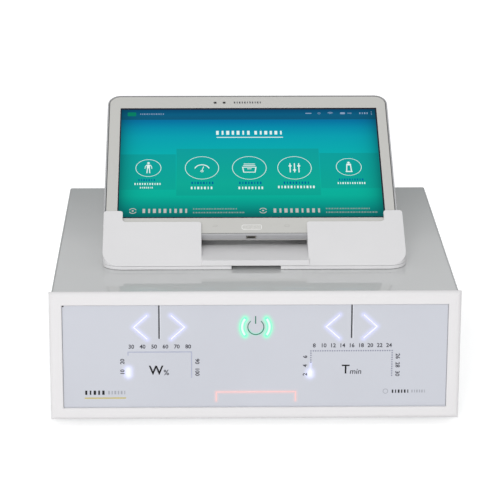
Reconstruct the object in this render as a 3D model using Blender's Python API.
"""Desktop physiotherapy console with a tablet docked on top.

A folded sheet cover stands on a base tray behind a mitred front frame with a back-lit touch panel.
A wedge-shaped cradle on the cover holds a 10-inch tablet, which is the screen of the console.
Metres, +Z up, the front faces -Y. The origin is the middle of the footprint, on the surface.
"""

import math

import bmesh
import bpy
from mathutils import Matrix, Vector

# Case
CASE_DEPTH = 0.300
FRONT = -CASE_DEPTH / 2
REAR = CASE_DEPTH / 2
FOOT_HEIGHT = 0.006
GAP = 0.0003
COVER_WIDTH = 0.3212
COVER_BASE = 0.0064
COVER_TOP = 0.1124
COVER_BEND = 0.002
SHEET = 0.0015

# Front frame: rails measured inwards from the outer face, and backwards from the front face
FRAME_WIDTH = 0.325
FRAME_HEIGHT = 0.1067
FRAME_TOP = FOOT_HEIGHT + FRAME_HEIGHT
RAIL_WIDTH = 0.0103
RAIL_ROUND = 0.004
RAIL_SKIRT = 0.0042
RAIL_LIP = 0.002
RAIL_REBATE = 0.0083
RAIL_LEG = 0.0038
RAIL_DEPTH = 0.012
MITRE_GAP = 0.00022
PANEL_INSET = RAIL_REBATE + GAP
PANEL_THICKNESS = 0.003
GUIDE_THICKNESS = 0.003
BOARD_THICKNESS = 0.0016

# Base tray
TRAY_WIDTH = COVER_WIDTH - 2 * (SHEET + 0.0004)
TRAY_BASE = 0.0068
TRAY_FLOOR = TRAY_BASE + SHEET
TRAY_FLANGE_TOP = 0.022
TRAY_FRONT = FRONT + RAIL_DEPTH + 0.0004
STANDOFF_HEIGHT = 0.006
BOARD_BASE = TRAY_FLOOR + STANDOFF_HEIGHT + GAP
SCREW_Z = 0.0145
SCREW_PLACES = (("front", -0.110), ("middle", 0.0), ("rear", 0.110))
FOOT_X = 0.130
FOOT_Y = 0.110

# Rear panel, set in from the rear edge of the cover
PANEL_BACK = REAR - 0.010
REAR_SHEET = 0.002
PANEL_FRONT = PANEL_BACK - REAR_SHEET
TRAY_REAR = PANEL_FRONT - 0.0005
FAN_X = -0.100
FAN_Z = 0.058
FAN_SIDE = 0.060
FAN_DEPTH = 0.015
FAN_BORE = 0.0285
INLET_X = 0.118
INLET_Z = 0.062
SWITCH_X = 0.080
SWITCH_Z = 0.062
SOCKET_Z = 0.060
SOCKET_PLACES = (("left", -0.030), ("right", 0.020))
SOCKET_RADIUS = 0.008
EARTH_X = 0.052
EARTH_Z = 0.030

# Cradle: distances along its slope start at the front edge, offsets are measured off the slope
TILT = math.radians(26.63)
CRADLE_X = 0.0008
CRADLE_WIDTH = 0.2466
CRADLE_FRONT = FRONT + 0.0594
CRADLE_REAR = FRONT + 0.200
CRADLE_CORNER = 0.015
CRADLE_PLATE_TOP = COVER_TOP + 0.0029
CRADLE_BASE = CRADLE_PLATE_TOP + GAP
SLOPE_START = COVER_TOP + 0.0035
PLATFORM_TOP = COVER_TOP + 0.0077
PLATFORM_FRONT = CRADLE_FRONT + 0.0008
CHEEK_GAP = (-0.0422, 0.0447)
CHEEK_TOP = 0.0518
CHEEK_SKIN = 0.002
TAB_TOP = 0.065
TAB_WIDTH = 0.0155
POCKET_FOOT = 0.0386
POCKET_FLOOR = -0.0121
PAD_THICKNESS = 0.001
CRADLE_WALL = 0.0025
WAIST_START = FRONT + 0.119
WAIST_HALF = 0.098
NOTCH = (-0.0179, 0.0218)

# Tablet: across, up the slope and out of the glass, from the middle of the glass's lower edge
TABLET_X = -0.0013
TABLET_WIDTH = 0.2431
TABLET_LENGTH = 0.1761
TABLET_THICKNESS = 0.008
TABLET_CORNER = 0.011
TABLET_FOOT = 0.0389
GLASS_OFFSET = -0.0025
RIM_WALL = 0.0013
RIM_LOW = -0.0055
HOME_X = 0.0006
HOME_Y = 0.009
HOME_SIZE = (0.0156, 0.0049)
POWER_KEY = (-0.094, 0.013)
VOLUME_KEY = (-0.066, 0.024)
KEY_Z = -0.003

ROUND_STEPS = 24


# ---------------------------------------------------------------- helpers


def clear_scene():
    for obj in list(bpy.data.objects):
        bpy.data.objects.remove(obj, do_unlink=True)


def material(name, color, roughness, metallic=0.0):
    made = bpy.data.materials.new(name)
    made.use_nodes = True
    shader = made.node_tree.nodes["Principled BSDF"]
    shader.inputs["Base Color"].default_value = (*color, 1.0)
    shader.inputs["Roughness"].default_value = roughness
    shader.inputs["Metallic"].default_value = metallic
    made.diffuse_color = (*color, 1.0)
    return made


def empty_at(name, place, turn=(0.0, 0.0, 0.0), parent=None):
    made = bpy.data.objects.new(name, None)
    bpy.context.scene.collection.objects.link(made)
    made.location = place
    made.rotation_euler = turn
    made.parent = parent
    return made


def make_object(name, bm, finish=None, parent=None, origin=(0.0, 0.0, 0.0)):
    """An object from a bmesh given in the parent's frame, with its origin moved to the point given."""
    bmesh.ops.remove_doubles(bm, verts=bm.verts, dist=1e-7)
    bmesh.ops.recalc_face_normals(bm, faces=bm.faces)
    bmesh.ops.translate(bm, verts=bm.verts, vec=-Vector(origin))
    mesh = bpy.data.meshes.new(name)
    bm.to_mesh(mesh)
    bm.free()
    mesh.shade_smooth()
    mesh.set_sharp_from_angle(angle=math.radians(35))
    made = bpy.data.objects.new(name, mesh)
    bpy.context.scene.collection.objects.link(made)
    made.location = origin
    made.parent = parent
    if finish:
        mesh.materials.append(finish)
    return made


def combine(target, operation, bm, parent=None):
    """Cuts, joins or intersects the target with a hidden tool object made from the bmesh."""
    tool = make_object(f"tool_{len(target.modifiers) + 1}_{target.name}", bm, parent=parent)
    tool.hide_render = True
    tool.display_type = "WIRE"
    modifier = target.modifiers.new(operation.lower(), "BOOLEAN")
    modifier.operation = operation
    modifier.solver = "EXACT"
    modifier.object = tool


def soften(target, width, segments=2, angle=50):
    modifier = target.modifiers.new("soften", "BEVEL")
    modifier.width = width
    modifier.segments = segments
    modifier.limit_method = "ANGLE"
    modifier.angle_limit = math.radians(angle)


def arc(centre, radius, start, end, steps):
    """Points on a circular arc, in degrees, both ends included."""
    angles = [math.radians(start + (end - start) * i / steps) for i in range(steps + 1)]
    return [(centre[0] + radius * math.cos(a), centre[1] + radius * math.sin(a)) for a in angles]


def rounded_rectangle(low, high, radius, steps=5):
    """The outline of a rectangle with round corners; radius is one number, or one for each corner.

    The corners run from low left, low right, high right to high left.
    """
    radii = radius if isinstance(radius, tuple) else (radius,) * 4
    corners = (
        (low[0], low[1], 1, 1, 180),
        (high[0], low[1], -1, 1, 270),
        (high[0], high[1], -1, -1, 0),
        (low[0], high[1], 1, -1, 90),
    )
    points = []
    for (x, y, inward_x, inward_y, start), size in zip(corners, radii):
        if size:
            centre = (x + inward_x * size, y + inward_y * size)
            points += arc(centre, size, start, start + 90, steps)
        else:
            points.append((x, y))
    return points


def rectangle_about(middle, half, radius, steps):
    """A rounded rectangle given by its middle and its half lengths."""
    low = (middle[0] - half[0], middle[1] - half[1])
    high = (middle[0] + half[0], middle[1] + half[1])
    return rounded_rectangle(low, high, radius, steps)


def prism(bm, outline, axis, low, high, layers=1, twist=0.0, centre=(0.0, 0.0)):
    """Extrudes an outline along an axis, turning it by twist about the centre on the way.

    The outline's two coordinates are the other two axes, in X, Y, Z order.
    """
    place = {
        "X": lambda a, b, h: (h, a, b),
        "Y": lambda a, b, h: (a, h, b),
        "Z": lambda a, b, h: (a, b, h),
    }[axis]
    rings = []
    for layer in range(layers + 1):
        part = layer / layers
        turn = Matrix.Rotation(twist * part, 2)
        ring = []
        for point in outline:
            a, b = turn @ (Vector(point) - Vector(centre)) + Vector(centre)
            ring.append(bm.verts.new(place(a, b, low + (high - low) * part)))
        rings.append(ring)
    bm.faces.new(rings[0])
    bm.faces.new(rings[-1])
    for lower, upper in zip(rings, rings[1:]):
        skin(bm, lower, upper)


def skin(bm, first, second):
    """Quads between two closed rings with as many points."""
    count = len(first)
    for i in range(count):
        j = (i + 1) % count
        bm.faces.new((first[i], first[j], second[j], second[i]))


def box(bm, low, high):
    outline = [(low[0], low[1]), (high[0], low[1]), (high[0], high[1]), (low[0], high[1])]
    prism(bm, outline, "Z", low[2], high[2])


def circle(centre, radius, steps=ROUND_STEPS):
    return arc(centre, radius, 0, 360, steps)[:-1]


def lathe(bm, profile, axis, centre, steps=ROUND_STEPS, closed=False):
    """Turns (radius, height) points about an axis through the centre with Blender's spin."""
    turned = {
        "X": Matrix(((0, 0, 1), (1, 0, 0), (0, 1, 0))),
        "Y": Matrix(((1, 0, 0), (0, 0, 1), (0, -1, 0))),
        "Z": Matrix.Identity(3),
    }[axis]
    points = [turned @ Vector((radius, 0.0, height)) + Vector(centre) for radius, height in profile]
    verts = [bm.verts.new(point) for point in points]
    edges = [bm.edges.new(pair) for pair in zip(verts, verts[1:])]
    if closed:
        edges.append(bm.edges.new((verts[-1], verts[0])))
    bmesh.ops.spin(
        bm,
        geom=verts + edges,
        cent=centre,
        axis=turned @ Vector((0.0, 0.0, 1.0)),
        angle=math.tau,
        steps=steps,
        use_merge=True,
        use_duplicate=False,
    )


def spoked_outline(centre, hub, tip, count, width, steps=3):
    """A hub with straight arms: the outline of a fan rotor, a spider or a grille's cross."""
    at_hub = math.degrees(math.asin(width / 2 / hub))
    at_tip = math.degrees(math.asin(width / 2 / tip))
    pitch = 360 / count
    points = []
    for arm in range(count):
        middle = arm * pitch
        points += arc(centre, tip, middle - at_tip, middle + at_tip, 1)
        points += arc(centre, hub, middle + at_hub, middle + pitch - at_hub, steps)
    return points


# ---------------------------------------------------------------- front frame


def rail_section():
    """(inset from the outer face, depth behind the front face) around one rail."""
    edge = 0.0005
    rounding = arc((RAIL_ROUND, RAIL_ROUND), RAIL_ROUND, 180, 270, 5)
    face = [(RAIL_WIDTH - edge, 0.0), (RAIL_WIDTH, edge), (RAIL_WIDTH, RAIL_LIP)]
    leg = [(RAIL_REBATE, RAIL_LIP), (RAIL_REBATE, RAIL_DEPTH)]
    leg += [(RAIL_LEG, RAIL_DEPTH), (RAIL_LEG, RAIL_SKIRT)]
    return [(0.0, RAIL_SKIRT)] + rounding + face + leg


def make_rail(name, half_length, place, finish):
    """One rail with 45 degree ends; place maps (inset, depth, along) to a point."""
    bm = bmesh.new()
    ends = []
    for side in (-1, 1):
        ring = []
        for inset, depth in rail_section():
            along = side * (half_length - inset - MITRE_GAP)
            ring.append(bm.verts.new(place(inset, depth, along)))
        ends.append(ring)
        bm.faces.new(ring)
    skin(bm, *ends)
    make_object(name, bm, finish)


def make_front_frame():
    white = material("frame_white", (0.78, 0.78, 0.79), 0.4)
    middle = (FOOT_HEIGHT + FRAME_TOP) / 2
    side = FRAME_WIDTH / 2
    wide = FRAME_WIDTH / 2
    tall = FRAME_HEIGHT / 2
    make_rail("frame_rail_top", wide, lambda s, d, a: (a, FRONT + d, FRAME_TOP - s), white)
    make_rail("frame_rail_bottom", wide, lambda s, d, a: (a, FRONT + d, FOOT_HEIGHT + s), white)
    make_rail("frame_rail_left", tall, lambda s, d, a: (s - side, FRONT + d, middle + a), white)
    make_rail("frame_rail_right", tall, lambda s, d, a: (side - s, FRONT + d, middle + a), white)


def make_panel_stack():
    """The glass, the light guide and the board with the touch fields and lamps, one behind the other."""
    layers = (
        ("front_panel", 0.0, PANEL_THICKNESS, (0.62, 0.64, 0.70), 0.2),
        ("light_guide", 0.0002, GUIDE_THICKNESS, (0.85, 0.86, 0.88), 0.35),
        ("touch_board", 0.004, BOARD_THICKNESS, (0.10, 0.30, 0.16), 0.5),
    )
    front = FRONT + RAIL_LIP + GAP
    for name, smaller, thickness, color, roughness in layers:
        half = FRAME_WIDTH / 2 - PANEL_INSET - smaller
        low = FOOT_HEIGHT + PANEL_INSET + smaller
        high = FRAME_TOP - PANEL_INSET - smaller
        bm = bmesh.new()
        outline = rounded_rectangle((-half, low), (half, high), 0.001, 2)
        prism(bm, outline, "Y", front, front + thickness)
        make_object(name, bm, material(name + "_finish", color, roughness))
        front += thickness + GAP


# ---------------------------------------------------------------- case


def channel_outline(width, web, tips, radius):
    """A sheet folded to a U: the web at one height, the tips of its two legs at another."""
    up = 1 if tips > web else -1
    outer = width / 2
    inner = outer - SHEET
    inner_radius = radius - SHEET
    bend = web + up * radius
    points = [(-outer, tips)]
    points += arc((-outer + radius, bend), radius, 180, 180 + up * 90, 4)
    points += arc((outer - radius, bend), radius, 180 + up * 90, 180 + up * 180, 4)
    points += [(outer, tips), (inner, tips)]
    points += arc((inner - inner_radius, bend), inner_radius, 0, -up * 90, 2)
    points += arc((-inner + inner_radius, bend), inner_radius, -up * 90, -up * 180, 2)
    points.append((-inner, tips))
    return points


def screw_holes():
    """Three rods right across the case, which cut the screw holes of both sides."""
    bm = bmesh.new()
    for _, y in SCREW_PLACES:
        prism(bm, circle((y, SCREW_Z), 0.0019, 12), "X", -FRAME_WIDTH, FRAME_WIDTH)
    return bm


def make_cover():
    bm = bmesh.new()
    outline = channel_outline(COVER_WIDTH, COVER_TOP, COVER_BASE, COVER_BEND)
    prism(bm, outline, "Y", FRONT + RAIL_SKIRT + GAP, REAR)
    cover = make_object("top_cover", bm, material("cover_white", (0.72, 0.73, 0.73), 0.12))
    combine(cover, "DIFFERENCE", screw_holes())


def make_tray():
    bm = bmesh.new()
    outline = channel_outline(TRAY_WIDTH, TRAY_BASE, TRAY_FLANGE_TOP, COVER_BEND)
    prism(bm, outline, "Y", TRAY_FRONT, TRAY_REAR)
    tray = make_object("base_tray", bm, material("tray_zinc", (0.60, 0.61, 0.62), 0.4, 1.0))
    combine(tray, "DIFFERENCE", screw_holes())
    slots = bmesh.new()
    for column in range(10):
        x = -0.045 + 0.010 * column
        outline = rounded_rectangle((x - 0.0015, 0.035), (x + 0.0015, 0.085), 0.0014, 3)
        prism(slots, outline, "Z", TRAY_BASE - 0.002, TRAY_FLOOR + 0.002)
    combine(tray, "DIFFERENCE", slots)
    pillars = bmesh.new()
    for x in (-0.145, 0.015):
        for y in (-0.118, -0.002):
            prism(pillars, circle((x, y), 0.003, 12), "Z", TRAY_BASE + 0.0005, TRAY_FLOOR + STANDOFF_HEIGHT)
    combine(tray, "UNION", pillars)


def make_feet():
    rubber = material("foot_rubber", (0.03, 0.03, 0.03), 0.8)
    profile = [(0.0, 0.0035), (0.004, 0.0035), (0.0042, 0.0), (0.0072, 0.0)]
    profile += [(0.0078, 0.0008), (0.0088, 0.0065), (0.0, 0.0065)]
    for end, y in (("front", -FOOT_Y), ("rear", FOOT_Y)):
        for side, x in (("left", -FOOT_X), ("right", FOOT_X)):
            bm = bmesh.new()
            lathe(bm, profile, "Z", (x, y, 0.0))
            make_object(f"rubber_foot_{end}_{side}", bm, rubber, origin=(x, y, 0.0))


def make_cover_screws():
    steel = material("screw_steel", (0.62, 0.62, 0.62), 0.3, 1.0)
    head = 0.0011
    shank = 0.0055
    profile = [(0.0, head - 0.0007), (0.0010, head - 0.0007), (0.0011, head), (0.0022, head)]
    profile += [(0.0029, head - 0.0005), (0.0029, 0.0), (0.0015, 0.0), (0.0015, -shank), (0.0, -shank)]
    for side, sign in (("left", -1), ("right", 1)):
        mirrored = [(radius, sign * height) for radius, height in profile]
        for end, y in SCREW_PLACES:
            place = (sign * (COVER_WIDTH / 2 + GAP), y, SCREW_Z)
            bm = bmesh.new()
            lathe(bm, mirrored, "X", place, 12)
            make_object(f"cover_screw_{side}_{end}", bm, steel, origin=place)


# ---------------------------------------------------------------- rear panel and what it carries


def make_rear_panel():
    bm = bmesh.new()
    half = TRAY_WIDTH / 2
    prism(
        bm,
        rounded_rectangle((-half, TRAY_BASE), (half, COVER_TOP - SHEET - 0.0005), 0.001, 2),
        "Y",
        PANEL_FRONT,
        PANEL_BACK,
    )
    panel = make_object("rear_panel", bm, material("rear_grey", (0.55, 0.56, 0.57), 0.45))
    low = PANEL_FRONT - 0.005
    high = PANEL_BACK + 0.005
    holes = bmesh.new()
    prism(holes, circle((FAN_X, FAN_Z), 0.0275, 32), "Y", low, high)
    for _, x in SOCKET_PLACES:
        prism(holes, circle((x, SOCKET_Z), SOCKET_RADIUS + 0.0004), "Y", low, high)
    prism(holes, circle((EARTH_X, EARTH_Z), 0.0034, 16), "Y", low, high)
    inlet = rounded_rectangle(
        (INLET_X - 0.0142, INLET_Z - 0.0197), (INLET_X + 0.0142, INLET_Z + 0.0197), 0.001, 2
    )
    prism(holes, inlet, "Y", low, high)
    switch = rounded_rectangle(
        (SWITCH_X - 0.0068, SWITCH_Z - 0.0098), (SWITCH_X + 0.0068, SWITCH_Z + 0.0098), 0.0005, 2
    )
    prism(holes, switch, "Y", low, high)
    combine(panel, "DIFFERENCE", holes)


def make_fan():
    black = material("fan_black", (0.02, 0.02, 0.02), 0.5)
    back = PANEL_FRONT - GAP
    front = back - FAN_DEPTH
    half = FAN_SIDE / 2
    centre = (FAN_X, FAN_Z)
    bm = bmesh.new()
    corners = ((FAN_X - half, FAN_Z - half), (FAN_X + half, FAN_Z + half))
    prism(bm, rounded_rectangle(*corners, 0.004, 3), "Y", front, back)
    housing = make_object("fan_housing", bm, black)
    bore = bmesh.new()
    prism(bore, circle(centre, FAN_BORE, 32), "Y", front - 0.01, back + 0.01)
    combine(housing, "DIFFERENCE", bore)
    spider = bmesh.new()
    spider_outline = spoked_outline(centre, 0.011, FAN_BORE + 0.001, 3, 0.003, 6)
    prism(spider, spider_outline, "Y", front + 0.0002, front + 0.002)
    combine(housing, "UNION", spider)
    bearing = bmesh.new()
    prism(bearing, circle(centre, 0.0019, 12), "Y", front - 0.01, front + 0.01)
    combine(housing, "DIFFERENCE", bearing)

    axle = empty_at("fan_axis", (FAN_X, front, FAN_Z))
    blades = bmesh.new()
    prism(
        blades,
        spoked_outline((0.0, 0.0), 0.011, 0.0272, 7, 0.0018, 3),
        "Y",
        0.0026,
        0.0135,
        layers=4,
        twist=math.radians(38),
    )
    rotor = make_object("fan_rotor", blades, black, parent=axle)
    shaft = bmesh.new()
    prism(shaft, circle((0.0, 0.0), 0.0015, 12), "Y", 0.0002, 0.005)
    combine(rotor, "UNION", shaft, parent=axle)


def make_fan_guard():
    front = PANEL_BACK + GAP
    wire = 0.0012
    centre = (FAN_X, front + wire / 2, FAN_Z)
    bm = bmesh.new()
    cross = spoked_outline((0.0, 0.0), 0.005, 0.0385, 4, 0.0020, 2)
    turn = Matrix.Rotation(math.radians(45), 2)
    cross = [tuple(turn @ Vector(point) + Vector((FAN_X, FAN_Z))) for point in cross]
    prism(bm, cross, "Y", front, front + wire)
    guard = make_object("fan_guard", bm, material("guard_steel", (0.7, 0.7, 0.7), 0.25, 1.0))
    for radius in (0.012, 0.020, 0.028):
        ring = bmesh.new()
        half = wire / 2 - 0.0001
        section = [(radius - 0.0007, -half), (radius + 0.0007, -half)]
        section += [(radius + 0.0007, half), (radius - 0.0007, half)]
        lathe(ring, section, "Y", centre, 28, closed=True)
        combine(guard, "UNION", ring)


def make_inlet():
    """The mains inlet: a housing with a recess for the plug, three pins and a fuse drawer under it."""
    black = material("inlet_black", (0.015, 0.015, 0.016), 0.4)
    flange_back = PANEL_BACK + GAP + 0.002
    bm = bmesh.new()
    outline = rectangle_about((INLET_X, INLET_Z), (0.0138, 0.0193), 0.0008, 2)
    prism(bm, outline, "Y", PANEL_FRONT - 0.016, PANEL_BACK + 0.0008)
    housing = make_object("mains_inlet", bm, black)
    flange = bmesh.new()
    outline = rectangle_about((INLET_X, INLET_Z), (0.016, 0.0215), 0.002, 3)
    prism(flange, outline, "Y", PANEL_BACK + GAP, flange_back)
    combine(housing, "UNION", flange)

    plug = INLET_Z + 0.0065
    recess = bmesh.new()
    outline = [(INLET_X - 0.012, plug - 0.008), (INLET_X + 0.012, plug - 0.008)]
    outline += [(INLET_X + 0.012, plug + 0.003), (INLET_X + 0.007, plug + 0.008)]
    outline += [(INLET_X - 0.007, plug + 0.008), (INLET_X - 0.012, plug + 0.003)]
    prism(recess, outline, "Y", flange_back - 0.017, flange_back + 0.005)
    combine(housing, "DIFFERENCE", recess)
    brass = material("pin_nickel", (0.75, 0.72, 0.66), 0.25, 1.0)
    for name, x, z in (("line", -0.007, -0.002), ("neutral", 0.007, -0.002), ("earth", 0.0, 0.002)):
        pin = bmesh.new()
        outline = rounded_rectangle(
            (INLET_X + x - 0.001, plug + z - 0.002), (INLET_X + x + 0.001, plug + z + 0.002), 0.0004, 1
        )
        prism(pin, outline, "Y", flange_back - 0.0167, flange_back - 0.003)
        make_object(f"inlet_pin_{name}", pin, brass)

    drawer_z = INLET_Z - 0.011
    slot = bmesh.new()
    box(
        slot,
        (INLET_X - 0.0124, flange_back - 0.0155, drawer_z - 0.0044),
        (INLET_X + 0.0124, flange_back + 0.005, drawer_z + 0.0044),
    )
    combine(housing, "DIFFERENCE", slot)
    origin = (INLET_X, flange_back, drawer_z)
    axis = empty_at("fuse_drawer_axis", origin)
    bm = bmesh.new()
    box(bm, (-0.012, -0.015, -0.004), (0.012, 0.001, 0.004))
    drawer = make_object("fuse_drawer", bm, black, parent=axis)
    face = bmesh.new()
    prism(face, rounded_rectangle((-0.0133, -0.0052), (0.0133, 0.0052), 0.001, 2), "Y", GAP, 0.0020)
    combine(drawer, "UNION", face, parent=axis)
    pocket = bmesh.new()
    box(pocket, (-0.0106, -0.0130, -0.0029), (0.0106, -0.0070, 0.006))
    combine(drawer, "DIFFERENCE", pocket, parent=axis)
    fuse = bmesh.new()
    tube = [(0.0, -0.010), (0.0026, -0.010), (0.0026, -0.0045), (0.0023, -0.0045)]
    tube += [(radius, -height) for radius, height in reversed(tube)]
    lathe(fuse, tube, "X", (0.0, -0.010, 0.0), 12)
    make_object("fuse", fuse, brass, parent=axis)


def make_switch():
    """A rocker switch: the rocker turns on a pin across the frame, and rests with its upper half in."""
    black = material("switch_black", (0.02, 0.02, 0.02), 0.35)
    flange_back = PANEL_BACK + GAP + 0.0018
    bm = bmesh.new()
    outline = rectangle_about((SWITCH_X, SWITCH_Z), (0.0064, 0.0094), 0.0004, 1)
    prism(bm, outline, "Y", PANEL_FRONT - 0.014, PANEL_BACK + 0.0008)
    frame = make_object("power_switch_frame", bm, black)
    flange = bmesh.new()
    outline = rectangle_about((SWITCH_X, SWITCH_Z), (0.0078, 0.0110), 0.001, 2)
    prism(flange, outline, "Y", PANEL_BACK + GAP, flange_back)
    combine(frame, "UNION", flange)
    hollow = bmesh.new()
    box(
        hollow,
        (SWITCH_X - 0.0056, flange_back - 0.012, SWITCH_Z - 0.0088),
        (SWITCH_X + 0.0056, flange_back + 0.005, SWITCH_Z + 0.0088),
    )
    combine(frame, "DIFFERENCE", hollow)

    pivot_depth = 0.003
    thrown = math.radians(9)
    axis = empty_at("power_rocker_axis", (SWITCH_X, flange_back - pivot_depth, SWITCH_Z), (thrown, 0.0, 0.0))
    rocker = bmesh.new()
    outline = [(0.0030, 0.0), (0.0042, 0.0076), (-0.0010, 0.0070)]
    outline += arc((0.0, 0.0), 0.0050, 130, 230, 5)
    outline += [(-0.0010, -0.0070), (0.0042, -0.0076)]
    prism(rocker, outline, "X", -0.0052, 0.0052)
    rocker_body = make_object("power_rocker", rocker, black, parent=axis)
    soften(rocker_body, 0.0003, 1, 40)


def make_sockets():
    """Round sockets for the treatment heads: a barrel through the panel with a nut behind it."""
    nickel = material("socket_nickel", (0.66, 0.66, 0.67), 0.28, 1.0)
    for side, x in SOCKET_PLACES:
        place = (x, PANEL_BACK, SOCKET_Z)
        bm = bmesh.new()
        mouth = 0.008
        floor = mouth - 0.0105
        profile = [(0.0, floor), (0.0052, floor), (0.0052, mouth - 0.0006), (0.0058, mouth)]
        profile += [(0.0074, mouth), (0.0080, mouth - 0.0006), (0.0080, 0.0027), (0.0105, 0.0027)]
        profile += [(0.0110, 0.0022), (0.0110, GAP), (SOCKET_RADIUS, GAP)]
        profile += [(SOCKET_RADIUS, -0.014), (0.0, -0.014)]
        lathe(bm, profile, "Y", place)
        make_object(f"handpiece_socket_{side}", bm, nickel, origin=place)
        nut = bmesh.new()
        prism(nut, circle((x, SOCKET_Z), 0.0115, 6), "Y", PANEL_FRONT - GAP - 0.003, PANEL_FRONT - GAP)
        nut_body = make_object(f"socket_nut_{side}", nut, nickel)
        hole = bmesh.new()
        prism(hole, circle((x, SOCKET_Z), SOCKET_RADIUS + GAP), "Y", PANEL_FRONT - 0.01, PANEL_FRONT + 0.01)
        combine(nut_body, "DIFFERENCE", hole)


def make_earth_post():
    place = (EARTH_X, PANEL_BACK, EARTH_Z)
    bm = bmesh.new()
    profile = [(0.0, 0.0085), (0.0025, 0.0085), (0.0030, 0.0080), (0.0030, 0.0018), (0.0062, 0.0018)]
    profile += [(0.0065, 0.0015), (0.0065, GAP), (0.0030, GAP), (0.0030, -0.010), (0.0, -0.010)]
    lathe(bm, profile, "Y", place, 18)
    make_object("earth_post", bm, material("earth_brass", (0.72, 0.58, 0.30), 0.3, 1.0), origin=place)


# ---------------------------------------------------------------- inside the case


def make_board(name, low, high, base, parts, finish, parent=None):
    """A circuit board with blocks on it, each (x, y, width, length, height)."""
    bm = bmesh.new()
    box(bm, (*low, base), (*high, base + BOARD_THICKNESS))
    board = make_object(name, bm, finish, parent=parent)
    blocks = bmesh.new()
    for x, y, width, length, height in parts:
        corner = (x - width / 2, y - length / 2, base + BOARD_THICKNESS / 2)
        box(blocks, corner, (x + width / 2, y + length / 2, base + BOARD_THICKNESS + height))
    combine(board, "UNION", blocks, parent=parent)


def make_boards():
    green = material("board_green", (0.04, 0.22, 0.10), 0.5)
    processor = (-0.085, -0.060, 0.028, 0.028, 0.003)
    relays = [(-0.130 + 0.022 * i, -0.018, 0.016, 0.020, 0.016) for i in range(4)]
    chips = [(-0.125 + 0.030 * i, -0.095, 0.014, 0.008, 0.002) for i in range(4)]
    header = (0.000, -0.105, 0.010, 0.012, 0.009)
    main_parts = [processor, header] + relays + chips
    make_board("main_board", (-0.150, -0.123), (0.020, 0.003), BOARD_BASE, main_parts, green)
    coils = [(0.060 + 0.025 * i, -0.105, 0.018, 0.018, 0.014) for i in range(4)]
    output_parts = coils + [(0.045, -0.070, 0.012, 0.030, 0.020)]
    make_board("output_board", (0.036, -0.123), (0.150, -0.020), BOARD_BASE, output_parts, green)


def make_heatsink():
    """A finned aluminium block on the output board."""
    base = BOARD_BASE + BOARD_THICKNESS + GAP
    low, high, fins = 0.060, 0.146, 9
    fin, height, foot = 0.002, 0.030, 0.004
    pitch = (high - low - fin) / (fins - 1)
    outline = [(low, base)]
    for i in range(fins):
        x = low + i * pitch
        outline += [(x, base + foot), (x, base + height), (x + fin, base + height), (x + fin, base + foot)]
    outline.append((high, base))
    outline = [outline[0]] + outline[2:-2] + [outline[-1]]
    bm = bmesh.new()
    prism(bm, outline, "Y", -0.085, -0.030)
    make_object("output_heatsink", bm, material("heatsink_grey", (0.45, 0.46, 0.48), 0.4, 1.0))


def make_power_parts():
    bm = bmesh.new()
    box(bm, (0.055, 0.005, TRAY_FLOOR + GAP), (0.150, 0.110, 0.045))
    supply = make_object("power_supply", bm, material("supply_steel", (0.62, 0.63, 0.64), 0.35, 1.0))
    slots = bmesh.new()
    for i in range(9):
        x = 0.065 + 0.0095 * i
        box(slots, (x - 0.0015, 0.020, 0.043), (x + 0.0015, 0.095, 0.050))
    combine(supply, "DIFFERENCE", slots)
    bm = bmesh.new()
    low, high = TRAY_FLOOR + GAP, TRAY_FLOOR + 0.024
    profile = rounded_rectangle((0.009, low), (0.027, high), 0.006, 3)
    lathe(bm, profile, "Z", (-0.075, 0.065, 0.0), 20, closed=True)
    make_object("output_transformer", bm, material("winding_copper", (0.55, 0.27, 0.10), 0.35, 0.6))


def make_ribbon_cable():
    """A flat cable from the back of the touch board down to the main board."""
    start = FRONT + RAIL_LIP + PANEL_THICKNESS + GUIDE_THICKNESS + BOARD_THICKNESS + 4 * GAP
    half = 0.0005
    bend = 0.006
    high = 0.060
    drop = start + 0.004 + bend
    low = BOARD_BASE + BOARD_THICKNESS + 0.0035
    route = [(start, high)]
    route += arc((start + 0.004, high - bend), bend, 90, 0, 5)
    route += arc((drop + bend, low + bend), bend, 180, 270, 5)
    route.append((drop + bend + 0.006, low))
    sides = ([], [])
    for i, point in enumerate(route):
        before = Vector(route[max(i - 1, 0)])
        after = Vector(route[min(i + 1, len(route) - 1)])
        along = (after - before).normalized()
        across = Vector((-along.y, along.x)) * half
        sides[0].append(tuple(Vector(point) + across))
        sides[1].append(tuple(Vector(point) - across))
    bm = bmesh.new()
    prism(bm, sides[0] + sides[1][::-1], "X", -0.060, -0.030)
    make_object("ribbon_cable", bm, material("ribbon_grey", (0.5, 0.5, 0.52), 0.5))


# ---------------------------------------------------------------- cradle


def on_slope(along, offset):
    """(y, z) of a point on or off the cradle's sloping face."""
    y = CRADLE_FRONT + along * math.cos(TILT) - offset * math.sin(TILT)
    z = SLOPE_START + along * math.sin(TILT) + offset * math.cos(TILT)
    return y, z


def floor_height(y, offset=POCKET_FLOOR):
    """Height of the plane that carries the tablet's back, at a given y."""
    start_y, start_z = on_slope(POCKET_FOOT, offset)
    return start_z + (y - start_y) * math.tan(TILT)


def cradle_sides():
    return CRADLE_X - CRADLE_WIDTH / 2, CRADLE_X + CRADLE_WIDTH / 2


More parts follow.
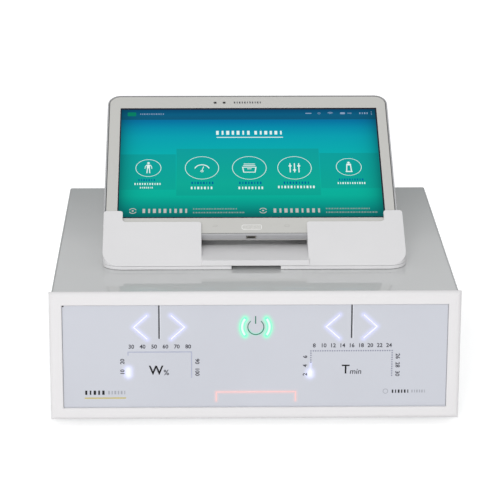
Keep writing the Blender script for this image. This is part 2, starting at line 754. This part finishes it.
def waist_cutouts():
    """Plan cut-outs that narrow the cradle behind its cheeks, so that the tablet overhangs it."""
    bm = bmesh.new()
    far = CRADLE_WIDTH
    end = CRADLE_REAR + 0.05
    low, high = COVER_TOP - 0.01, COVER_TOP + 0.15
    left = rounded_rectangle((-far, WAIST_START), (CRADLE_X - WAIST_HALF, end), (0, 0.005, 0, 0), 4)
    right = rounded_rectangle((CRADLE_X + WAIST_HALF, WAIST_START), (far, end), (0.005, 0, 0, 0), 4)
    prism(bm, left, "Z", low, high)
    prism(bm, right, "Z", low, high)
    return bm


def make_cradle_plate(white):
    left, right = cradle_sides()
    bm = bmesh.new()
    outline = rounded_rectangle(
        (left, CRADLE_FRONT), (right, CRADLE_REAR), (CRADLE_CORNER, CRADLE_CORNER, 0, 0), 6
    )
    prism(bm, outline, "Z", COVER_TOP + GAP, CRADLE_PLATE_TOP)
    plate = make_object("cradle_base", bm, white)
    notch = bmesh.new()
    outline = rounded_rectangle((NOTCH[0], CRADLE_FRONT - 0.01), (NOTCH[1], CRADLE_FRONT + 0.060), 0.003, 3)
    prism(notch, outline, "Z", COVER_TOP - 0.01, COVER_TOP + 0.02)
    combine(plate, "DIFFERENCE", notch)
    combine(plate, "DIFFERENCE", waist_cutouts())


def corner_tool(bm, corner, turn, radius, axis, low, high):
    """What is left of a square corner outside its rounding; turn is the corner's heading in degrees."""
    margin = 0.002
    inward = math.radians(turn + 180)
    diagonal = radius * math.sqrt(2)
    centre = (corner[0] + diagonal * math.cos(inward), corner[1] + diagonal * math.sin(inward))
    outline = arc(centre, radius, turn - 45, turn + 45, 6)
    out = Vector((math.cos(math.radians(turn)), math.sin(math.radians(turn)))) * margin * math.sqrt(2)
    first = Vector(outline[-1])
    last = Vector(outline[0])
    side = Vector((-out.y, out.x))
    tip = Vector(corner) + out
    outline += [tuple(first + (out + side) / 2), tuple(tip), tuple(last + (out - side) / 2)]
    prism(bm, outline, axis, low, high)


def cradle_profile():
    front_foot = (CRADLE_FRONT, CRADLE_BASE)
    rear_top = (CRADLE_REAR, floor_height(CRADLE_REAR))
    return [
        front_foot,
        on_slope(0.0, 0.0),
        on_slope(TAB_TOP, 0.0),
        on_slope(TAB_TOP, -CHEEK_SKIN),
        on_slope(POCKET_FOOT, -CHEEK_SKIN),
        on_slope(POCKET_FOOT, POCKET_FLOOR),
        rear_top,
        (CRADLE_REAR, CRADLE_BASE),
    ]


def make_cradle_body(white):
    """The wedge: cheeks that lap over the tablet's edge, a platform between them and a hollow back."""
    left, right = cradle_sides()
    bm = bmesh.new()
    prism(bm, cradle_profile(), "X", left, right)
    body = make_object("cradle_body", bm, white)

    corners = bmesh.new()
    low, high = CRADLE_BASE - 0.01, COVER_TOP + 0.15
    corner_tool(corners, (left, CRADLE_FRONT), 225, CRADLE_CORNER, "Z", low, high)
    corner_tool(corners, (right, CRADLE_FRONT), 315, CRADLE_CORNER, "Z", low, high)
    combine(body, "DIFFERENCE", corners)
    combine(body, "DIFFERENCE", waist_cutouts())

    gap_left, gap_right = CHEEK_GAP
    gap_end = FRONT + 0.118
    lip = bmesh.new()
    box(lip, (gap_left, PLATFORM_FRONT, CRADLE_BASE), (gap_right, PLATFORM_FRONT + 0.02, PLATFORM_TOP))
    combine(body, "UNION", lip)
    toe = bmesh.new()
    box(toe, (gap_left, CRADLE_FRONT - 0.01, low), (gap_right, PLATFORM_FRONT, high))
    combine(body, "DIFFERENCE", toe)
    gap = bmesh.new()
    box(gap, (gap_left, CRADLE_FRONT - 0.01, PLATFORM_TOP), (gap_right, gap_end, high))
    combine(body, "DIFFERENCE", gap)

    hollow = bmesh.new()
    start, end = FRONT + 0.103, CRADLE_REAR - CRADLE_WALL
    under = POCKET_FLOOR - CRADLE_WALL
    outline = [(start, CRADLE_BASE - 0.005), (start, floor_height(start, under))]
    outline += [(end, floor_height(end, under)), (end, CRADLE_BASE - 0.005)]
    half = WAIST_HALF - CRADLE_WALL
    prism(hollow, outline, "X", CRADLE_X - half, CRADLE_X + half)
    combine(body, "DIFFERENCE", hollow)

    window = bmesh.new()
    outline = rounded_rectangle((-0.035, COVER_TOP + 0.007), (0.035, COVER_TOP + 0.030), 0.004, 3)
    prism(window, outline, "Y", CRADLE_REAR - 0.01, CRADLE_REAR + 0.01)
    combine(body, "DIFFERENCE", window)

    slope = empty_at("cradle_slope", (0.0, CRADLE_FRONT, SLOPE_START), (TILT, 0.0, 0.0))
    between = bmesh.new()
    inner_left, inner_right = left + TAB_WIDTH, right - TAB_WIDTH
    radii = (0.003, 0.003, 0, 0)
    outline = rounded_rectangle((inner_left, CHEEK_TOP), (inner_right, TAB_TOP + 0.02), radii, 4)
    above, below = 0.01, -CHEEK_SKIN - 0.0003
    prism(between, outline, "Z", below, above)
    combine(body, "DIFFERENCE", between, parent=slope)
    tips = bmesh.new()
    for x, y, turn in (
        (left, TAB_TOP, 135),
        (inner_left, TAB_TOP, 45),
        (inner_right, TAB_TOP, 135),
        (right, TAB_TOP, 45),
        (CHEEK_GAP[0], CHEEK_TOP, 45),
        (CHEEK_GAP[1], CHEEK_TOP, 135),
    ):
        corner_tool(tips, (x, y), turn, 0.0025, "Z", below, above)
    combine(body, "DIFFERENCE", tips, parent=slope)


def make_grip_pads():
    rubber = material("pad_rubber", (0.05, 0.05, 0.05), 0.85)
    slope = empty_at("pad_slope", (0.0, CRADLE_FRONT, SLOPE_START), (TILT, 0.0, 0.0))
    base = POCKET_FLOOR + GAP
    for side, x in (("left", -0.070), ("right", 0.070)):
        bm = bmesh.new()
        outline = rounded_rectangle((x - 0.020, 0.060), (x + 0.020, 0.140), 0.004, 3)
        prism(bm, outline, "Z", base, base + PAD_THICKNESS)
        make_object(f"grip_pad_{side}", bm, rubber, parent=slope)


def make_cradle():
    white = material("cradle_white", (0.74, 0.74, 0.75), 0.35)
    make_cradle_plate(white)
    make_cradle_body(white)
    make_grip_pads()


# ---------------------------------------------------------------- tablet


def tablet_outline(inset, steps=6):
    half = TABLET_WIDTH / 2 - inset
    return rounded_rectangle((-half, inset), (half, TABLET_LENGTH - inset), TABLET_CORNER - inset, steps)


def centred_box(bm, centre, size, low, high):
    half = (size[0] / 2, size[1] / 2)
    box(bm, (centre[0] - half[0], centre[1] - half[1], low), (centre[0] + half[0], centre[1] + half[1], high))


def make_tablet_shells(tablet):
    """The back shell, the metal rim around the edge and the front glass."""
    white = material("tablet_white", (0.75, 0.74, 0.72), 0.3)
    low = -TABLET_THICKNESS
    rim_low = RIM_LOW
    bm = bmesh.new()
    rings = []
    edge = ((0.0025, low), (0.0012, low + 0.0004), (0.0005, low + 0.0012), (0.0004, rim_low - GAP))
    for inset, height in edge:
        rings.append([bm.verts.new((*point, height)) for point in tablet_outline(inset)])
    bm.faces.new(rings[0])
    bm.faces.new(rings[-1])
    for lower, upper in zip(rings, rings[1:]):
        skin(bm, lower, upper)
    back = make_object("tablet_back", bm, white, parent=tablet)
    tray = bmesh.new()
    prism(tray, tablet_outline(0.003), "Z", low + 0.0011, rim_low + 0.002)
    combine(back, "DIFFERENCE", tray, parent=tablet)
    lens_hole = bmesh.new()
    prism(lens_hole, circle((0.0, 0.160), 0.0049, 16), "Z", low - 0.002, rim_low)
    combine(back, "DIFFERENCE", lens_hole, parent=tablet)

    bm = bmesh.new()
    outside = ((0.0003, rim_low), (0.0, rim_low + 0.0006), (0.0, -0.0008), (0.0005, 0.0))
    section = outside + ((RIM_WALL, 0.0), (RIM_WALL, rim_low))
    rings = [[bm.verts.new((*point, height)) for point in tablet_outline(inset)] for inset, height in section]
    for ring, following in zip(rings, rings[1:] + rings[:1]):
        skin(bm, ring, following)
    rim = make_object("tablet_rim", bm, material("rim_chrome", (0.72, 0.72, 0.73), 0.15, 1.0), parent=tablet)
    ports = bmesh.new()
    centred_box(ports, (0.0, 0.0), (0.0084, 0.006), -0.0048, -0.0014)
    for middle, length in (POWER_KEY, VOLUME_KEY):
        centred_box(ports, (middle, TABLET_LENGTH), (length + 0.0008, 0.006), KEY_Z - 0.0014, KEY_Z + 0.0014)
    combine(rim, "DIFFERENCE", ports, parent=tablet)

    bm = bmesh.new()
    prism(bm, tablet_outline(RIM_WALL + GAP), "Z", -0.0010, -0.0001)
    glass = make_object("tablet_glass", bm, material("bezel_grey", (0.56, 0.55, 0.54), 0.1), parent=tablet)
    hole = bmesh.new()
    half_width, half_height = HOME_SIZE[0] / 2 + GAP, HOME_SIZE[1] / 2 + GAP
    outline = rounded_rectangle(
        (HOME_X - half_width, HOME_Y - half_height), (HOME_X + half_width, HOME_Y + half_height), 0.0018, 4
    )
    prism(hole, outline, "Z", -0.01, 0.01)
    combine(glass, "DIFFERENCE", hole, parent=tablet)


def make_tablet_inside(tablet):
    floor = -TABLET_THICKNESS + 0.0014
    bm = bmesh.new()
    box(bm, (-0.113, 0.0165, -0.0042), (0.113, 0.162, -0.0013))
    make_object("tablet_display", bm, material("display_dark", (0.02, 0.03, 0.04), 0.2), parent=tablet)
    bm = bmesh.new()
    prism(bm, rounded_rectangle((-0.105, 0.025), (0.015, 0.145), 0.002, 2), "Z", floor, -0.0046)
    make_object("tablet_battery", bm, material("battery_grey", (0.15, 0.15, 0.16), 0.4), parent=tablet)
    chips = [(0.045 + 0.020 * i, 0.060 + 0.030 * j, 0.010, 0.012, 0.0003) for i in range(3) for j in range(3)]
    board_finish = material("tablet_board_green", (0.03, 0.16, 0.12), 0.5)
    make_board("tablet_board", (0.025, 0.030), (0.112, 0.140), floor, chips, board_finish, parent=tablet)

    bm = bmesh.new()
    outline = rounded_rectangle((-0.0038, -0.0044), (0.0038, -0.0018), 0.0006, 2)
    prism(bm, outline, "Y", 0.0002, 0.0060)
    steel = material("port_steel", (0.6, 0.6, 0.6), 0.3, 1.0)
    port = make_object("tablet_usb_port", bm, steel, parent=tablet)
    mouth = bmesh.new()
    prism(mouth, rounded_rectangle((-0.0034, -0.0040), (0.0034, -0.0022), 0.0004, 1), "Y", -0.002, 0.0055)
    combine(port, "DIFFERENCE", mouth, parent=tablet)

    bm = bmesh.new()
    low = -TABLET_THICKNESS - 0.0006
    lens = [(0.0, low + 0.0005), (0.0028, low + 0.0005), (0.0034, low), (0.0042, low)]
    lens += [(0.0045, low + 0.0004), (0.0045, low + 0.0035), (0.0, low + 0.0035)]
    lathe(bm, lens, "Z", (0.0, 0.160, 0.0), 20)
    make_object("tablet_camera", bm, material("lens_black", (0.02, 0.02, 0.03), 0.1), parent=tablet)


def make_tablet_keys(tablet):
    white = material("key_white", (0.70, 0.70, 0.69), 0.3)
    chrome = material("key_chrome", (0.70, 0.70, 0.71), 0.2, 1.0)
    half = (HOME_SIZE[0] / 2, HOME_SIZE[1] / 2)
    axis = empty_at("home_button_axis", (HOME_X, HOME_Y, 0.0), parent=tablet)
    bm = bmesh.new()
    prism(bm, rounded_rectangle((-half[0], -half[1]), half, 0.0016, 4), "Z", -0.0034, 0.0002)
    button = make_object("tablet_home_button", bm, white, parent=axis)
    soften(button, 0.0002, 1, 60)
    proud = 0.0006
    for name, (middle, length) in (("power", POWER_KEY), ("volume", VOLUME_KEY)):
        axis = empty_at(name + "_key_axis", (middle, TABLET_LENGTH - RIM_WALL, KEY_Z), parent=tablet)
        bm = bmesh.new()
        outline = rounded_rectangle((-length / 2, -0.0010), (length / 2, 0.0010), 0.0009, 3)
        prism(bm, outline, "Y", -0.0006, RIM_WALL + proud)
        key = make_object(f"tablet_{name}_key", bm, chrome, parent=axis)
        soften(key, 0.0002, 1, 60)


def make_tablet():
    foot = on_slope(TABLET_FOOT, GLASS_OFFSET)
    tablet = empty_at("tablet", (TABLET_X, *foot), (TILT, 0.0, 0.0))
    make_tablet_shells(tablet)
    make_tablet_inside(tablet)
    make_tablet_keys(tablet)


def main():
    clear_scene()
    make_front_frame()
    make_panel_stack()
    make_cover()
    make_tray()
    make_feet()
    make_cover_screws()
    make_rear_panel()
    make_fan()
    make_fan_guard()
    make_inlet()
    make_switch()
    make_sockets()
    make_earth_post()
    make_boards()
    make_heatsink()
    make_power_parts()
    make_ribbon_cable()
    make_cradle()
    make_tablet()


main()
